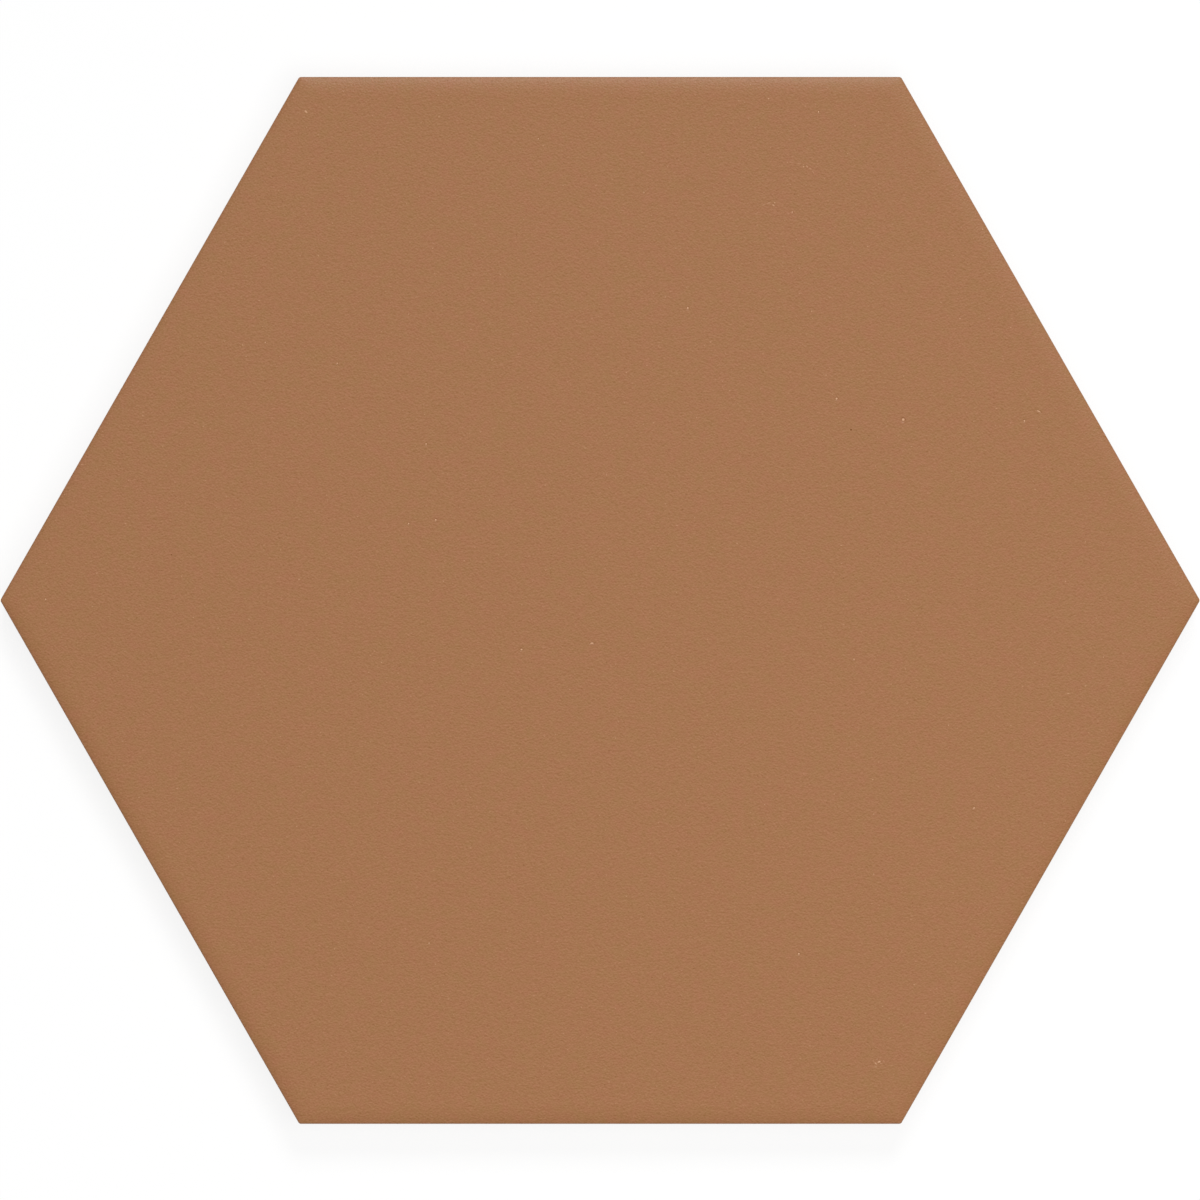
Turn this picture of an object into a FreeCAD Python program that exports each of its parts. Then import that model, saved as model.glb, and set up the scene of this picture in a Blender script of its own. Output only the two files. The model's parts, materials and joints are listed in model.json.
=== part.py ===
# Hexagon floor tile, one pressed and fired ceramic piece, lying face up.
# Frame: Z is up, the bed is the plane z = 0 and the origin is the middle of the bed.
# X runs from corner to corner, and two of the six sides are square to Y. Sizes are in millimetres.

import FreeCAD, Part
import math
import os

Vector = FreeCAD.Vector

# Plan of the tile
ACROSS_CORNERS = 200.0      # from the left corner to the right corner, along X
ACROSS_FLATS = 174.5        # between the two sides that are square to Y
STRAIGHT_SIDE = 100.3       # length of those two sides, the other four close the hexagon
THICKNESS = 8.5             # from the bed to the wearing face

# Edge of the wearing face, rolled over as a quarter of an ellipse
ROLL_WIDTH = 3.3            # how far in from the side the face starts to fall
ROLL_DROP = 0.65            # how far it has fallen where it meets the side
SIDE_CORNER_RADIUS = 0.5    # plan radius of the six corners on the upright side
FACE_CORNER_RADIUS = 4.0    # plan radius of the flat face, inside the rolled edge
ROLL_SECTIONS = 9           # cross sections that the rolled edge is lofted through

# Lower part of the side, which lets the tile leave its die
DRAFT_HEIGHT = 4.6          # the side stands upright above this height
DRAFT_SETBACK = 0.35        # how far the side has drawn in at the bed
BACK_CHAMFER = 0.8          # bevel round the bed

# Keyed back: hexagonal pockets between ribs, inside a plain rim
POCKET_WIDTH = 12.4         # across the flats of a pocket's mouth
POCKET_DEPTH = 0.6
POCKET_DRAFT = 0.35         # how far a pocket's floor lies inside its mouth
RIB_WIDTH = 2.0             # between two neighbouring pockets
RIM_WIDTH = 3.0             # least width of the plain rim round all pockets


def rounded(corners, radius):
    """Closed wire through a convex polygon's corners, each turned by an arc of the radius."""
    arcs = []
    for number, corner in enumerate(corners):
        back = (corners[number - 1] - corner).normalize()
        ahead = (corners[(number + 1) % len(corners)] - corner).normalize()
        half_angle = back.getAngle(ahead) / 2
        start = corner + back * (radius / math.tan(half_angle))
        end = corner + ahead * (radius / math.tan(half_angle))
        inward = (back + ahead).normalize()
        middle = corner + inward * (radius / math.sin(half_angle) - radius)
        arcs.append((start, middle, end))
    edges = []
    for number, (start, middle, end) in enumerate(arcs):
        next_start = arcs[(number + 1) % len(arcs)][0]
        edges.append(Part.Arc(start, middle, end).toShape())
        edges.append(Part.LineSegment(end, next_start).toShape())
    return Part.Wire(edges)


def side_slope():
    """Angle between X and the outward normal of the upper right side."""
    return math.atan2((ACROSS_CORNERS - STRAIGHT_SIDE) / 2, ACROSS_FLATS / 2)


def side_distances(inset):
    """Distance from the middle to the straight sides and to the slanted sides, drawn in by the inset."""
    slanted = ACROSS_CORNERS / 2 * math.cos(side_slope())
    return ACROSS_FLATS / 2 - inset, slanted - inset


def tile_outline(inset, radius, height):
    """The tile's plan at a height, with every side drawn in by the inset."""
    straight, slanted = side_distances(inset)
    slope = side_slope()
    tip = slanted / math.cos(slope)
    shoulder = (slanted - straight * math.sin(slope)) / math.cos(slope)
    corners = [
        Vector(tip, 0, height),
        Vector(shoulder, straight, height),
        Vector(-shoulder, straight, height),
        Vector(-tip, 0, height),
        Vector(-shoulder, -straight, height),
        Vector(shoulder, -straight, height),
    ]
    return rounded(corners, radius)


def drafted_base():
    """The lower part of the tile: a bevel round the bed, then a side that leans out to full size."""
    bed = tile_outline(DRAFT_SETBACK + BACK_CHAMFER, SIDE_CORNER_RADIUS, 0)
    lean = DRAFT_SETBACK * (1 - BACK_CHAMFER / DRAFT_HEIGHT)
    above_bevel = tile_outline(lean, SIDE_CORNER_RADIUS, BACK_CHAMFER)
    full_size = tile_outline(0, SIDE_CORNER_RADIUS, DRAFT_HEIGHT)
    return Part.makeLoft([bed, above_bevel, full_size], True, True)


def upright_side():
    """The part between the draft and the rolled edge, whose sides are upright and flat."""
    height = THICKNESS - ROLL_DROP - DRAFT_HEIGHT
    return Part.Face(tile_outline(0, SIDE_CORNER_RADIUS, DRAFT_HEIGHT)).extrude(Vector(0, 0, height))


def rolled_top():
    """The top of the tile, lofted up its elliptical edge from the upright side to the flat face."""
    sections = []
    for number in range(ROLL_SECTIONS):
        turn = math.pi / 2 * number / (ROLL_SECTIONS - 1)
        inset = ROLL_WIDTH * (1 - math.cos(turn))
        height = THICKNESS - ROLL_DROP * (1 - math.sin(turn))
        growth = (FACE_CORNER_RADIUS - SIDE_CORNER_RADIUS) * inset / ROLL_WIDTH
        sections.append(tile_outline(inset, SIDE_CORNER_RADIUS + growth, height))
    return Part.makeLoft(sections, True, False)


def pocket_outline(width, height):
    """A pocket's hexagon about the Z axis, with two of its corners on the Y axis."""
    corners = []
    for number in range(7):
        turn = math.radians(60 * number + 30)
        reach = width / math.sqrt(3)
        corners.append(Vector(reach * math.cos(turn), reach * math.sin(turn), height))
    return Part.makePolygon(corners)


def pocket():
    """The space of the middle pocket, narrower at its floor than at its mouth."""
    mouth = pocket_outline(POCKET_WIDTH, 0)
    floor = pocket_outline(POCKET_WIDTH - 2 * POCKET_DRAFT, POCKET_DEPTH)
    return Part.makeLoft([mouth, floor], True, True)


def fits_in_rim(centre):
    """Whether the whole pocket lies inside the rim, seen square to each pair of sides."""
    straight, slanted = side_distances(DRAFT_SETBACK + BACK_CHAMFER + RIM_WIDTH)
    slope = side_slope()
    half_corners = POCKET_WIDTH / math.sqrt(3)
    to_slanted = abs(centre.x) * math.cos(slope) + abs(centre.y) * math.sin(slope)
    return abs(centre.y) + half_corners <= straight and to_slanted + half_corners <= slanted


def pocket_centres():
    """Middles of all whole pockets, in rows along X that are staggered by half a pitch."""
    pitch = POCKET_WIDTH + RIB_WIDTH
    row_step = pitch * math.sqrt(3) / 2
    rows = int(ACROSS_FLATS / 2 / row_step) + 1
    places = int(ACROSS_CORNERS / 2 / pitch) + 1
    centres = []
    for row in range(-rows, rows + 1):
        stagger = pitch / 2 * (row % 2)
        for place in range(-places, places + 1):
            centres.append(Vector(place * pitch + stagger, row * row_step, 0))
    return [centre for centre in centres if fits_in_rim(centre)]


def hexagon_tile():
    """The whole tile: base, upright side and rolled top in one, with the pockets cut into its bed."""
    body = drafted_base().fuse([upright_side(), rolled_top()])
    first = pocket()
    pockets = [first.translated(centre) for centre in pocket_centres()]
    return body.cut(Part.makeCompound(pockets)).Solids[0]


os.makedirs("parts", exist_ok=True)
tile = hexagon_tile()
tile.exportStep("parts/hexagon_tile.step")
print("pockets", len(pocket_centres()), "volume in mm3", round(tile.Volume), "valid", tile.isValid())
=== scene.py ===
"""A hexagonal floor tile, face up: matt terracotta glaze, a rolled edge, bare sides and a keyed back."""

import json
import math
from dataclasses import dataclass
from functools import cached_property

import bmesh
import bpy
from mathutils import Matrix, Vector


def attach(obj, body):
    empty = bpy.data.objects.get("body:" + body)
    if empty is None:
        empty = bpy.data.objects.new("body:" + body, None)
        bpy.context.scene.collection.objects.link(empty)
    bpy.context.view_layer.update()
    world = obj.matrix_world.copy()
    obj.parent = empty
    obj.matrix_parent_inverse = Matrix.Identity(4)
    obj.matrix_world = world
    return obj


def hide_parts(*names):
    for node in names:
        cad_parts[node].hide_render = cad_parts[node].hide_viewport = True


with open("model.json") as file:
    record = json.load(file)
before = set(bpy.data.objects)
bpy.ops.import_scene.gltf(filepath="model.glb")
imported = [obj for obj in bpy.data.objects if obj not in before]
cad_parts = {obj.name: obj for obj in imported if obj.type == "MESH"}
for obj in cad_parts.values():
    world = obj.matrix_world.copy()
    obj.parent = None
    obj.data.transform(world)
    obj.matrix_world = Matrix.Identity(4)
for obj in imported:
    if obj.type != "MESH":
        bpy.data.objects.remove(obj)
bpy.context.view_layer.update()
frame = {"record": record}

MM = 0.001

# Plan and height of the tile, read from the frame
mounts = {mount["name"]: mount for mount in frame["record"]["mounts"]}
STRAIGHT_SIDE = mounts["side_back"]["pos_m"][1]
SLANT = Vector(mounts["side_back_right"]["axis"])
SLANTED_SIDE = SLANT.dot(Vector(mounts["side_back_right"]["pos_m"]))
TIP = SLANTED_SIDE / SLANT.x
FACE_LEVEL = mounts["wearing_face"]["pos_m"][2]

# Rolled edge of the wearing face, a quarter of an ellipse
ROLL_WIDTH = 3.3 * MM
ROLL_DROP = 0.65 * MM
SIDE_CORNER_RADIUS = 0.5 * MM
FACE_CORNER_RADIUS = 4.0 * MM

# Drafted lower side and bevelled bed
DRAFT_HEIGHT = 4.6 * MM     # the side is upright above it
DRAFT_SETBACK = 0.35 * MM
BACK_CHAMFER = 0.8 * MM
ARRIS = 0.2 * MM            # softness of the fired edges round the bevel
FLAT_MARGIN = 0.15 * MM     # flat strip of the bed and of the face that is modelled with the side

# Pockets of the keyed back
POCKET_WIDTH = 12.4 * MM
POCKET_RADIUS = POCKET_WIDTH / math.sqrt(3)
POCKET_DEPTH = 0.6 * MM
POCKET_DRAFT = 0.35 * MM
POCKET_CORNER = 0.9 * MM
LIP = 0.08 * MM             # softness of a pocket's mouth
FOOT = 0.12 * MM            # softness where its wall meets its floor
SOFT_STEPS = [(0.6, 0.3), (0.4, 0.7)]       # shares of a soft edge's width and depth, from its flat side
RIB_WIDTH = 2.0 * MM
RIM_WIDTH = 3.0 * MM

# Fineness of the mesh
CORNER_STEPS = 8
ROLL_STEPS = 14
ARRIS_STEPS = 3
FLECK_SIDES = 12
LEVEL_SLACK = 0.0001 * MM   # heights this near to each other are level

# The tile's two finishes, in the order of its materials
GLAZED = 0
BARE = 1


# Flecks in the glaze

@dataclass
class Fleck:
    """A fleck placed as the photograph shows it.

    Its place, from the middle of the face, and its radius are in millimetres, and its turn in degrees."""

    across: float
    up: float
    radius: float
    stretch: float = 1
    turn: float = 0
    strength: float = 1


# Pale grains
GRAINS = [
    Fleck(70.7, 29.9, 0.175, stretch=1.2, turn=-60),
    Fleck(-1.37, -7.14, 0.15, stretch=2.6, turn=4),
    Fleck(39.4, 33.6, 0.23),
    Fleck(50.5, 30.1, 0.31),
    Fleck(62.3, -34.6, 0.135, stretch=2.0, turn=10),
    Fleck(-27.4, 13.4, 0.198),
    Fleck(73.1, 31.5, 0.12, stretch=4.0, turn=-28),
    Fleck(-13.1, -8.2, 0.19, stretch=1.3, turn=30),
    Fleck(-31.9, 12.8, 0.175),
    Fleck(14.6, 48.7, 0.22),
    Fleck(33.1, -58.9, 0.206),
    Fleck(-29.0, 26.05, 0.18),
    Fleck(46.13, -76.42, 0.12, strength=0.7),
    Fleck(47.27, -76.73, 0.13, strength=0.5),
    Fleck(45.6, -35.6, 0.12),
    Fleck(-10.3, 76.9, 0.14),
    Fleck(42.3, -9.8, 0.15),
    Fleck(-43.8, 39.5, 0.16),
    Fleck(45.6, -45.6, 0.125),
    Fleck(-28.5, -57.1, 0.155),
    Fleck(-55.8, 43.0, 0.135),
    Fleck(7.3, 68.0, 0.14),
    Fleck(32.0, 64.7, 0.15),
    Fleck(36.4, 81.4, 0.155, stretch=1.2, turn=90),
    Fleck(-92.4, 0.18, 0.165),
]

# Dark pits
PITS = [
    Fleck(41.8, 28.4, 0.14),
    Fleck(-71.4, 7.6, 0.09, stretch=1.2, turn=15),
    Fleck(40.5, 3.7, 0.082),
    Fleck(45.2, -74.8, 0.08),
    Fleck(14.3, 17.7, 0.073),
]

# Faint pale marks, nearly flush: a cluster, a curved hair line, a smudge below it, and single ones
CLUSTER = [
    Fleck(46.50, -76.87, 0.15, stretch=1.8, turn=25, strength=0.8),
    Fleck(46.79, -77.16, 0.09, stretch=1.4, turn=-60, strength=0.5),
    Fleck(45.92, -77.15, 0.10, stretch=2.6, turn=-51, strength=0.55),
    Fleck(45.59, -76.77, 0.10, strength=0.35),
    Fleck(45.93, -77.71, 0.20, stretch=1.4, strength=0.3),
    Fleck(46.70, -76.13, 0.10, stretch=1.3, turn=-20, strength=0.3),
]
HAIR_LINE = [
    Fleck(31.18, 72.96, 0.09, strength=0.6),
    Fleck(31.88, 72.98, 0.06, stretch=7.0, turn=-5, strength=0.4),
    Fleck(33.18, 72.78, 0.06, stretch=5.5, turn=-7, strength=0.4),
    Fleck(33.89, 72.63, 0.07, stretch=1.2, strength=0.4),
    Fleck(33.89, 72.27, 0.09, stretch=1.5, strength=0.7),
    Fleck(34.46, 72.35, 0.07, stretch=2.6, turn=-36, strength=0.75),
    Fleck(35.03, 71.92, 0.06, stretch=4.5, turn=-39, strength=0.5),
    Fleck(35.48, 71.36, 0.06, stretch=4.2, turn=-65, strength=0.5),
]
SMUDGE = [
    Fleck(28.88, 65.85, 0.10, stretch=2.4, turn=-32, strength=0.6),
    Fleck(29.10, 66.27, 0.10, stretch=1.3, turn=-10, strength=0.7),
    Fleck(28.06, 66.20, 0.08, stretch=5.0, turn=20, strength=0.4),
    Fleck(27.20, 65.87, 0.08, stretch=3.6, turn=25, strength=0.33),
    Fleck(26.10, 64.54, 0.10, stretch=5.0, turn=28, strength=0.25),
]
STREAKS = [
    Fleck(-49.01, 81.44, 0.18, stretch=1.6, turn=-42, strength=0.65),
    Fleck(78.0, -15.5, 0.09, stretch=2.6, strength=0.5),
    Fleck(28.08, 83.58, 0.105, stretch=1.1, strength=0.8),
]

# Each kind of fleck from its rim inwards, in radii of the fleck: the width and rise of each step, and
# the shade at its inner end, from -1 for dark to 1 for pale
# A grain's dip is painted darker as shade; its pale crown is the grain's own colour
GRAIN_RIM = 1.85
GRAIN_STEPS = [
    (0.15, 0, 0),
    (0.3, -0.12, 0),
    (0.3, -0.16, -0.4),
    (0.15, 0, -0.4),
    (0.25, 0.17, 0.8),
    (0.3, 0.09, 1),
    (0.2, 0.02, 1),
]
PIT_RIM = 1.6
PIT_STEPS = [
    (0.3, 0, 0),
    (0.3, -0.25, -0.6),
    (0.3, -0.35, -1),
    (0.3, -0.15, -1),
]
STREAK_RIM = 1.25
STREAK_STEPS = [
    (0.1, 0, 0),
    (0.15, -0.06, 0.4),
    (0.2, 0.06, 1),
]


# Shape

def plan_corners(inset):
    """The six corners of the tile's plan with every side drawn in by the inset."""
    straight = STRAIGHT_SIDE - inset
    slanted = SLANTED_SIDE - inset
    tip = slanted / SLANT.x
    shoulder = (slanted - straight * SLANT.y) / SLANT.x
    right = [(tip, 0), (shoulder, straight)]
    left = [(-shoulder, straight), (-tip, 0), (-shoulder, -straight)]
    return right + left + [(shoulder, -straight)]


def plan_loop(bm, inset, height, radius):
    """The edges of one closed loop round the tile, with its six corners rounded."""
    disc = bmesh.ops.create_circle(bm, cap_ends=True, segments=6, radius=1)["verts"]
    for vertex, (across, up) in zip(disc, plan_corners(inset)):
        vertex.co = (across, up, height)
    face = round_corners(bm, disc, radius)
    loop = list(face.edges)
    bmesh.ops.delete(bm, geom=[face], context="FACES_ONLY")
    return loop


def round_corners(bm, corners, radius):
    """Rounds the corners of a hexagonal face in plan, and returns the face."""
    half_corner = math.radians(60)
    cut_back = radius / math.tan(half_corner)
    rounded = bmesh.ops.bevel(
        bm, geom=corners, offset=cut_back, offset_type="OFFSET", affect="VERTICES",
        segments=CORNER_STEPS, profile=0.5, material=-1, clamp_overlap=False)
    return rounded["verts"][0].link_faces[0]


def eased(points, radius):
    """A profile between the first and last point, with each corner on the way replaced by a short curve."""
    line = []
    for before, corner, after in zip(points, points[1:], points[2:]):
        start = corner + (before - corner).normalized() * radius
        end = corner + (after - corner).normalized() * radius
        for step in range(ARRIS_STEPS + 1):
            share = step / ARRIS_STEPS
            line.append(start.lerp(corner, share).lerp(corner.lerp(end, share), share))
    return line + [points[-1]]


def lower_profile():
    """Inset and height up the tile's side, from the bed to the foot of the rolled edge."""
    lean = DRAFT_SETBACK * (1 - BACK_CHAMFER / DRAFT_HEIGHT)
    bed_inset = DRAFT_SETBACK + BACK_CHAMFER
    return eased([
        Vector((bed_inset + BACK_CHAMFER, 0)),
        Vector((bed_inset, 0)),
        Vector((lean, BACK_CHAMFER)),
        Vector((0, DRAFT_HEIGHT)),
        Vector((0, FACE_LEVEL - ROLL_DROP - ARRIS)),
    ], ARRIS)


def upper_profile():
    """Inset and height over the rolled edge, up to the flat face."""
    line = []
    for step in range(ROLL_STEPS + 1):
        turn = math.pi / 2 * step / ROLL_STEPS
        line.append(Vector((
            ROLL_WIDTH * (1 - math.cos(turn)),
            FACE_LEVEL - ROLL_DROP * (1 - math.sin(turn)))))
    return line


def add_side(bm):
    """The tile's side and rolled edge, from the bed to the flat face, with a flat strip inside each end."""
    previous = None
    for inset, height in lower_profile() + upper_profile():
        radius = SIDE_CORNER_RADIUS
        if height > FACE_LEVEL - ROLL_DROP:
            radius += (FACE_CORNER_RADIUS - SIDE_CORNER_RADIUS) * inset / ROLL_WIDTH
        loop = plan_loop(bm, inset, height, radius)
        if previous:
            bmesh.ops.bridge_loops(bm, edges=previous + loop)
        previous = loop
    for height in (0, FACE_LEVEL):
        face = bmesh.ops.contextual_create(bm, geom=open_edges(bm, height))["faces"][0]
        bmesh.ops.inset_region(bm, faces=[face], thickness=FLAT_MARGIN, use_even_offset=True)
        bmesh.ops.delete(bm, geom=[face], context="FACES_ONLY")


def open_edges(bm, height):
    """The edges at a height that have a face on one side only."""
    return [
        edge for edge in bm.edges
        if edge.is_boundary and all(abs(vertex.co.z - height) < LEVEL_SLACK for vertex in edge.verts)]


def patch(sides, radius, corner, steps):
    """A mesh of one small feature: a disc sunk by steps. The tile's flat surface is joined to its rim later.

    Each step has a width, a rise, and the shade of a fleck at its inner end."""
    bm = bmesh.new()
    tone = bm.verts.layers.float.new("fleck")
    rim = bmesh.ops.create_circle(bm, cap_ends=True, segments=sides, radius=radius)["verts"]
    face = rim[0].link_faces[0]
    if corner:
        face = round_corners(bm, rim, corner)
    for width, rise, shade in steps:
        bmesh.ops.inset_region(
            bm, faces=[face], thickness=width, depth=rise, use_even_offset=True, use_boundary=True)
        for vertex in face.verts:
            vertex[tone] = shade
    mesh = bpy.data.meshes.new("patch")
    bm.to_mesh(mesh)
    bm.free()
    return mesh


def stamp(bm, mesh, matrices):
    """Adds a copy of a patch to the tile for each matrix, and then drops the patch."""
    for matrix in matrices:
        copy = mesh.copy()
        copy.transform(matrix)
        bm.from_mesh(copy)
        bpy.data.meshes.remove(copy)
    bpy.data.meshes.remove(mesh)


def pocket_centres():
    """Middles of all whole pockets inside the rim, in staggered rows along X."""
    pitch = POCKET_WIDTH + RIB_WIDTH
    row_step = pitch * math.sqrt(3) / 2
    inset = DRAFT_SETBACK + BACK_CHAMFER + RIM_WIDTH + POCKET_RADIUS
    reach = int(TIP / row_step) + 1
    for row in range(-reach, reach + 1):
        for number in range(-reach, reach + 1):
            centre = Vector((number * pitch + pitch / 2 * (row % 2), row * row_step, 0))
            to_slanted = abs(centre.x) * SLANT.x + abs(centre.y) * SLANT.y
            if abs(centre.y) <= STRAIGHT_SIDE - inset and to_slanted <= SLANTED_SIDE - inset:
                yield centre


def add_pockets(bm):
    """The pockets of the back, each with a soft lip, a leaning wall and a soft foot."""
    lip = [(LIP * width, LIP * rise, 0) for width, rise in SOFT_STEPS]
    wall = [(POCKET_DRAFT - LIP - FOOT, POCKET_DEPTH - LIP - FOOT, 0)]
    foot = [(FOOT * width, FOOT * rise, 0) for width, rise in reversed(SOFT_STEPS)]
    steps = [(LIP, 0, 0)] + lip + wall + foot + [(FOOT, 0, 0)]
    pocket = patch(6, POCKET_RADIUS, POCKET_CORNER, steps)
    stamp(bm, pocket, [Matrix.Translation(centre) for centre in pocket_centres()])


def add_flecks(bm, flecks, rim, steps):
    """Flecks of one kind. None stands above the face: a grain sits in a ring-shaped dip."""
    for fleck in flecks:
        toned = [(width, rise, shade * fleck.strength) for width, rise, shade in steps]
        at = Matrix.Translation((fleck.across * MM, fleck.up * MM, FACE_LEVEL))
        turned = Matrix.Rotation(math.radians(fleck.turn), 4, "Z")
        radius = fleck.radius * MM
        size = Matrix.Diagonal((radius * fleck.stretch, radius, radius, 1))
        stamp(bm, patch(FLECK_SIDES, rim, 0, toned), [at @ turned @ size])


def make_tile():
    """The whole tile as one closed mesh."""
    bm = bmesh.new()
    bm.verts.layers.float.new("fleck")
    add_side(bm)
    add_pockets(bm)
    add_flecks(bm, GRAINS, GRAIN_RIM, GRAIN_STEPS)
    add_flecks(bm, PITS, PIT_RIM, PIT_STEPS)
    add_flecks(bm, CLUSTER + HAIR_LINE + SMUDGE + STREAKS, STREAK_RIM, STREAK_STEPS)
    for height in (0, FACE_LEVEL):
        bmesh.ops.triangle_fill(
            bm, edges=open_edges(bm, height), normal=(0, 0, 1), use_beauty=True, use_dissolve=False)
    bmesh.ops.recalc_face_normals(bm, faces=bm.faces)
    for face in bm.faces:
        face.material_index = GLAZED if face.calc_center_median().z > FACE_LEVEL - ROLL_DROP else BARE
    mesh = bpy.data.meshes.new("tile")
    bm.to_mesh(mesh)
    bm.free()
    mesh.shade_smooth()
    tile = bpy.data.objects.new("tile", mesh)
    bpy.context.scene.collection.objects.link(tile)
    return tile


# Finish

class Signal:
    """What a node puts out. Python's operators on signals and numbers add Math nodes."""

    def __init__(self, finish, socket):
        self.finish = finish
        self.socket = socket

    def math(self, operation, first, second):
        return self.finish.node("ShaderNodeMath", {"operation": operation}, {0: first, 1: second})

    def __add__(self, other):
        return self.math("ADD", self, other)

    def __sub__(self, other):
        return self.math("SUBTRACT", self, other)

    def __rsub__(self, other):
        return self.math("SUBTRACT", other, self)

    def __mul__(self, other):
        return self.math("MULTIPLY", self, other)

    __radd__ = __add__
    __rmul__ = __mul__


class Finish:
    """The nodes of a material, or of the world."""

    def __init__(self, owner):
        self.owner = owner
        owner.use_nodes = True
        self.tree = owner.node_tree
        self.tree.nodes.clear()

    def node(self, kind, settings, inputs, output=0):
        """Adds a node, sets it up, feeds its sockets, and returns one of its outputs if it has any."""
        node = self.tree.nodes.new(kind)
        for name, value in settings.items():
            setattr(node, name, value)
        for name, value in inputs.items():
            if isinstance(value, Signal):
                self.tree.links.new(value.socket, node.inputs[name])
            else:
                node.inputs[name].default_value = value
        if node.outputs:
            return Signal(self, node.outputs[output])

    @cached_property
    def place(self):
        """The place of a point on the object."""
        return self.node("ShaderNodeTexCoord", {}, {}, "Object")

    def noise(self, cell, octaves, stretch=1, shift=0):
        """Noise from about -1 to 1, whose largest cells have the given width, times the stretch along X.

        The shift moves the pattern down, towards -Y."""
        place = self.node("ShaderNodeVectorMath", {"operation": "MULTIPLY_ADD"}, {
            0: self.place, 1: (1 / stretch, 1, 1), 2: (0, shift, 0)})
        return self.node("ShaderNodeTexNoise", {}, {
            "Vector": place, "Scale": 1 / cell, "Detail": octaves - 1}) * 2 - 1

    def step(self, signal, low, high):
        """0 below the low value, 1 above the high one, with a smooth rise between."""
        return self.node("ShaderNodeMapRange", {"interpolation_type": "SMOOTHSTEP"}, {
            "Value": signal, "From Min": low, "From Max": high})

    def mix(self, factor, first, second):
        """The first colour where the factor is 0, and the second where it is 1."""
        return self.node("ShaderNodeMix", {"data_type": "RGBA"}, {0: factor, 6: first, 7: second}, 2)

    def add(self, colour, shade, amount):
        """A colour with an amount of a shade added."""
        return self.node("ShaderNodeVectorMath", {"operation": "MULTIPLY_ADD"}, {
            0: amount, 1: shade, 2: colour})

    def brighten(self, colour, amount):
        """A colour, made brighter by the amount as a share of it."""
        return self.node("ShaderNodeVectorMath", {"operation": "SCALE"}, {
            0: colour, "Scale": amount + 1})

    def bump(self, height):
        """The normal of a surface that stands out by the height, in metres."""
        return self.node("ShaderNodeBump", {}, {"Height": height, "Distance": 1})

    def seen(self):
        """1 where the camera sees the surface itself, and 0 for the light that it sends on."""
        return self.node("ShaderNodeLightPath", {}, {}, "Is Camera Ray")

    def surface(self, shader, output="ShaderNodeOutputMaterial"):
        """Puts the shader on the material or world, and returns that."""
        self.node(output, {}, {"Surface": shader})
        return self.owner


# Glaze, in linear colours
GLAZE_OLIVE = (0.342, 0.1626, 0.0644, 1)
GLAZE_PINK = (0.362, 0.1536, 0.0704, 1)
GLAZE_ROUGHNESS = 0.51
GLAZE_SHEEN = 0.51
GLAZE_CELL = 0.30 * MM
GLAZE_RELIEF = 0.0216 * MM      # how far its grain stands out
CLOUDS = [(7.0 * MM, 1, 0.25), (2.2 * MM, 4, 1), (0.45 * MM, 2, 0.4)]   # cell, octaves, strength

# Sand in the glaze: painted light and shade, each grain painted pale on its upper side and dark on its lower
# side as if lit from above, and dust between them, which is the glaze's own tone
PAINTED_SHADING_AND_DUST_TINT = (0.40, 0.232, 0.164)
PAINTED_SHADING_CELL = 0.26 * MM
PAINTED_SHADING_STRETCH = 1.15             # a grain's length along X against its width
PAINTED_LIGHT_OFFSET = 0.08 * MM           # from the middle of a grain to each of its sides
PAINTED_SHADING_STRENGTH = 0.1135
DUST_CELL = 0.42 * MM
DUST_STRENGTH = 0.07

# Pale and dark flecks, and specks in the sand, which start at one value of a noise and are whole at the next
PALE = (0.63, 0.36, 0.21, 1)
DARK = (0.21, 0.077, 0.016, 1)
SPECK_CELL = 0.30 * MM
PALE_STARTS = 0.60
PALE_WHOLE = 0.90
PALE_COVER = 0.7
DARK_STARTS = 0.50
DARK_WHOLE = 0.85
DARK_COVER = 0.6

# Where the glaze ends down the side, below the face
GLAZE_END = 2.0 * MM
GLAZE_FADE = 0.3 * MM
GLAZE_WAVE = 0.5 * MM           # how far its end wanders up and down
GLAZE_WAVE_CELL = 4.0 * MM

# Bare clay
BISCUIT = (0.45, 0.27, 0.16)
BISCUIT_ROUGHNESS = 0.85
CLAY_CELL = 0.5 * MM
CLAY_RELIEF = 0.018 * MM        # how far its grain stands out
CLAY_STRENGTH = 0.18
MOTTLE_CELL = 3.0 * MM
MOTTLE_STRENGTH = 0.06

# Kiln wash on the ribs of the back
KILN_WASH = (0.78, 0.74, 0.68, 1)
WASH_CELL = 6.0 * MM
WASH_RAGGED = 0.5               # how much the clay's grain frays its patches
WASH_STARTS = 0.05
WASH_WHOLE = 0.6
WASH_COVER = 0.55
RIB_FACE = 0.02 * MM            # the wash is whole up to this height
RIB_FLANK = 0.15 * MM           # and gone from this height up

# Floor and background
WHITE = (1, 1, 1, 1)
PAPER = (0.98, 0.98, 0.98, 1)
PAPER_GLOW = 0.85               # share of plain white in what the camera sees of the floor


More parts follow.
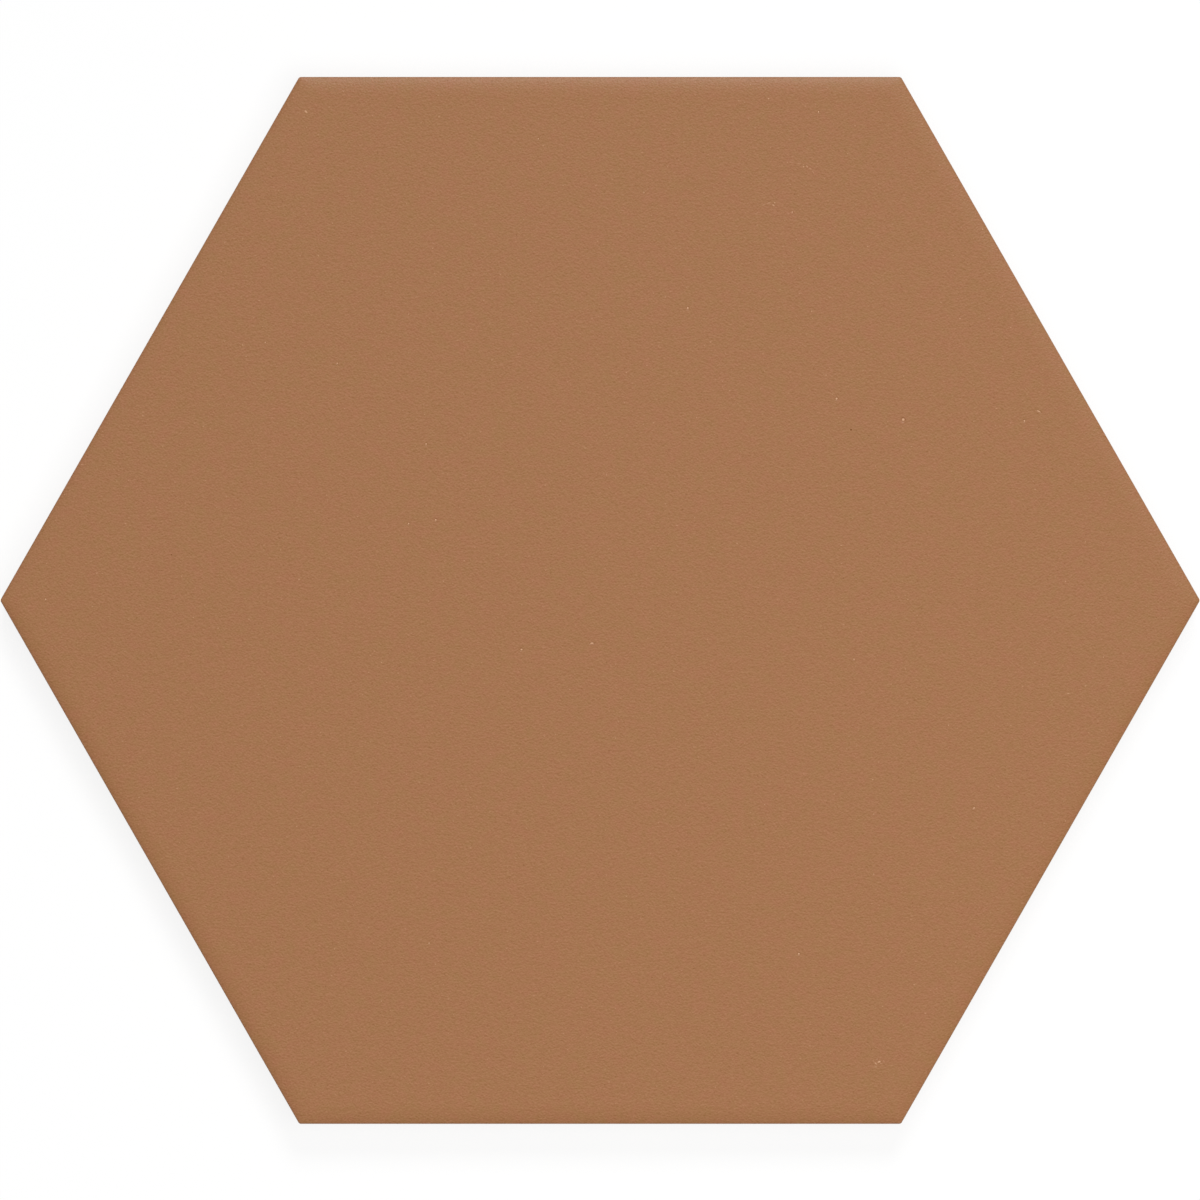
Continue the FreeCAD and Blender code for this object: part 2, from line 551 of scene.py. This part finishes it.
def glaze_colour(finish):
    """Matt terracotta glaze: olive and pink clouds, the sand with painted light and shade on its grains, its
    specks, and the single flecks on top.
    """
    clouds = sum(finish.noise(cell, octaves) * strength for cell, octaves, strength in CLOUDS)
    glaze = finish.mix(clouds + 0.5, GLAZE_OLIVE, GLAZE_PINK)
    # Painted light and shade: each grain's upper side is painted pale and its lower side dark, as if lit
    # from above
    painted_lit_side = finish.noise(PAINTED_SHADING_CELL, 1, PAINTED_SHADING_STRETCH, -PAINTED_LIGHT_OFFSET)
    painted_shaded_side = finish.noise(PAINTED_SHADING_CELL, 1, PAINTED_SHADING_STRETCH, PAINTED_LIGHT_OFFSET)
    dust = finish.noise(DUST_CELL, 1)
    glaze = finish.add(glaze, PAINTED_SHADING_AND_DUST_TINT, (painted_lit_side - painted_shaded_side) * PAINTED_SHADING_STRENGTH + dust * DUST_STRENGTH)
    specks = finish.noise(SPECK_CELL, 1)
    glaze = finish.mix(finish.step(specks, PALE_STARTS, PALE_WHOLE) * PALE_COVER, glaze, PALE)
    glaze = finish.mix(finish.step(0 - specks, DARK_STARTS, DARK_WHOLE) * DARK_COVER, glaze, DARK)
    fleck = finish.node("ShaderNodeAttribute", {"attribute_name": "fleck"}, {}, "Fac")
    glaze = finish.mix(finish.step(fleck, 0, 1), glaze, PALE)
    # Dark pits, and the painted shade in the dip round each grain
    return finish.mix(finish.step(0 - fleck, 0, 1), glaze, DARK)


def glaze_relief(finish):
    """The height of the glaze's fine grain."""
    return finish.noise(GLAZE_CELL, 1) * GLAZE_RELIEF


def glazed_face():
    """The wearing face and its rolled edge."""
    finish = Finish(bpy.data.materials.new("glazed_face"))
    return finish.surface(finish.node("ShaderNodeBsdfPrincipled", {}, {
        "Base Color": glaze_colour(finish),
        "Roughness": GLAZE_ROUGHNESS,
        "Specular IOR Level": GLAZE_SHEEN,
        "Normal": finish.bump(glaze_relief(finish)),
    }))


def glazed_to_bare_clay():
    """The sides and the back: the glaze runs out down the side, and kiln wash clings to the ribs."""
    finish = Finish(bpy.data.materials.new("glazed_to_bare_clay"))
    height = finish.node("ShaderNodeSeparateXYZ", {}, {"Vector": finish.place}, "Z")
    grain = finish.noise(CLAY_CELL, 4)
    mottle = finish.noise(MOTTLE_CELL, 3)
    clay = finish.brighten(BISCUIT, grain * CLAY_STRENGTH + mottle * MOTTLE_STRENGTH)
    wash = finish.step(finish.noise(WASH_CELL, 5) + grain * WASH_RAGGED, WASH_STARTS, WASH_WHOLE)
    on_ribs = 1 - finish.step(height, RIB_FACE, RIB_FLANK)
    clay = finish.mix(wash * on_ribs * WASH_COVER, clay, KILN_WASH)
    wandering = height + finish.noise(GLAZE_WAVE_CELL, 3) * GLAZE_WAVE
    whole_glaze = FACE_LEVEL - GLAZE_END
    glazed = finish.step(wandering, whole_glaze - GLAZE_FADE, whole_glaze)
    clay_relief = grain * CLAY_RELIEF
    return finish.surface(finish.node("ShaderNodeBsdfPrincipled", {}, {
        "Base Color": finish.mix(glazed, clay, glaze_colour(finish)),
        "Roughness": glazed * (GLAZE_ROUGHNESS - BISCUIT_ROUGHNESS) + BISCUIT_ROUGHNESS,
        "Specular IOR Level": GLAZE_SHEEN,
        "Normal": finish.bump(glazed * (glaze_relief(finish) - clay_relief) + clay_relief),
    }))


def paper():
    """The white floor. The camera sees it near white, with the tile's shadow still faintly on it."""
    finish = Finish(bpy.data.materials.new("paper"))
    finish.owner.cycles.emission_sampling = "NONE"
    lit = finish.node("ShaderNodeBsdfDiffuse", {}, {"Color": PAPER})
    white = finish.node("ShaderNodeEmission", {}, {"Color": WHITE, "Strength": 1})
    glow = finish.seen() * PAPER_GLOW
    return finish.surface(finish.node("ShaderNodeMixShader", {}, {0: glow, 1: lit, 2: white}))


# Studio

FLOOR_REACH = 8.0               # from the tile to each side of the floor, in metres
FLOOR_GAP = 0.02 * MM           # keeps the floor clear of the bed
LENS = 300.0
SENSOR = 36.0
PHOTO_SIZE = 1200               # pixels across the square photograph
TILE_IN_PHOTO = 1199.9          # pixels between the tile's left and right corners
MIDDLE_IN_PHOTO = (600.1, 600.4)


def add_floor():
    """The white floor under the tile, wide enough to fill a low view."""
    bm = bmesh.new()
    bmesh.ops.create_grid(
        bm, x_segments=2, y_segments=2, size=FLOOR_REACH, matrix=Matrix.Translation((0, 0, -FLOOR_GAP)))
    mesh = bpy.data.meshes.new("floor")
    bm.to_mesh(mesh)
    bm.free()
    mesh.materials.append(paper())
    floor = bpy.data.objects.new("floor", mesh)
    bpy.context.scene.collection.objects.link(floor)


def add_lamp(name, azimuth, tilt, distance, size, level, glossy):
    """A square soft lamp that looks at the tile from a direction: azimuth from +X, tilt from straight up.

    The level is the share of a fully lit white surface that it adds to the flat face."""
    lamp = bpy.data.lights.new(name, "AREA")
    lamp.size = size
    lamp.energy = level * (math.pi * distance) ** 2 / math.cos(math.radians(tilt))
    holder = bpy.data.objects.new(name, lamp)
    turn = Matrix.Rotation(math.radians(azimuth), 4, "Z") @ Matrix.Rotation(math.radians(tilt), 4, "Y")
    holder.matrix_world = turn @ Matrix.Translation((0, 0, distance))
    holder.visible_glossy = glossy
    holder.visible_camera = False
    bpy.context.scene.collection.objects.link(holder)


def add_world(level):
    """Even light from all round, and plain white where the camera sees past the floor."""
    finish = Finish(bpy.data.worlds.new("studio"))
    strength = finish.seen() * (1 - level) + level
    background = finish.node("ShaderNodeBackground", {}, {"Color": WHITE, "Strength": strength})
    bpy.context.scene.world = finish.surface(background, "ShaderNodeOutputWorld")


def add_camera():
    """Looks straight down, so that the tile spans the photograph's width as it does there."""
    view_width = 2 * TIP * PHOTO_SIZE / TILE_IN_PHOTO
    camera = bpy.data.cameras.new("camera")
    camera.lens = LENS
    camera.sensor_width = SENSOR
    camera.clip_start = 0.01
    holder = bpy.data.objects.new("camera", camera)
    per_pixel = view_width / PHOTO_SIZE
    across = (PHOTO_SIZE / 2 - MIDDLE_IN_PHOTO[0]) * per_pixel
    up = (MIDDLE_IN_PHOTO[1] - PHOTO_SIZE / 2) * per_pixel
    height = view_width * LENS / SENSOR + FACE_LEVEL - ROLL_DROP
    holder.location = (across, up, height)
    bpy.context.scene.collection.objects.link(holder)
    bpy.context.scene.camera = holder


add_camera()
tile = make_tile()
tile.data.materials.append(glazed_face())
tile.data.materials.append(glazed_to_bare_clay())
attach(tile, "root")
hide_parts("hexagon_tile")

add_floor()
add_world(level=0.14)
add_lamp("overhead", azimuth=-40, tilt=13, distance=0.92, size=0.6, level=0.62, glossy=False)
add_lamp("key", azimuth=80, tilt=40, distance=5.0, size=1.5, level=0.38, glossy=True)
bpy.context.scene.view_settings.view_transform = "Standard"
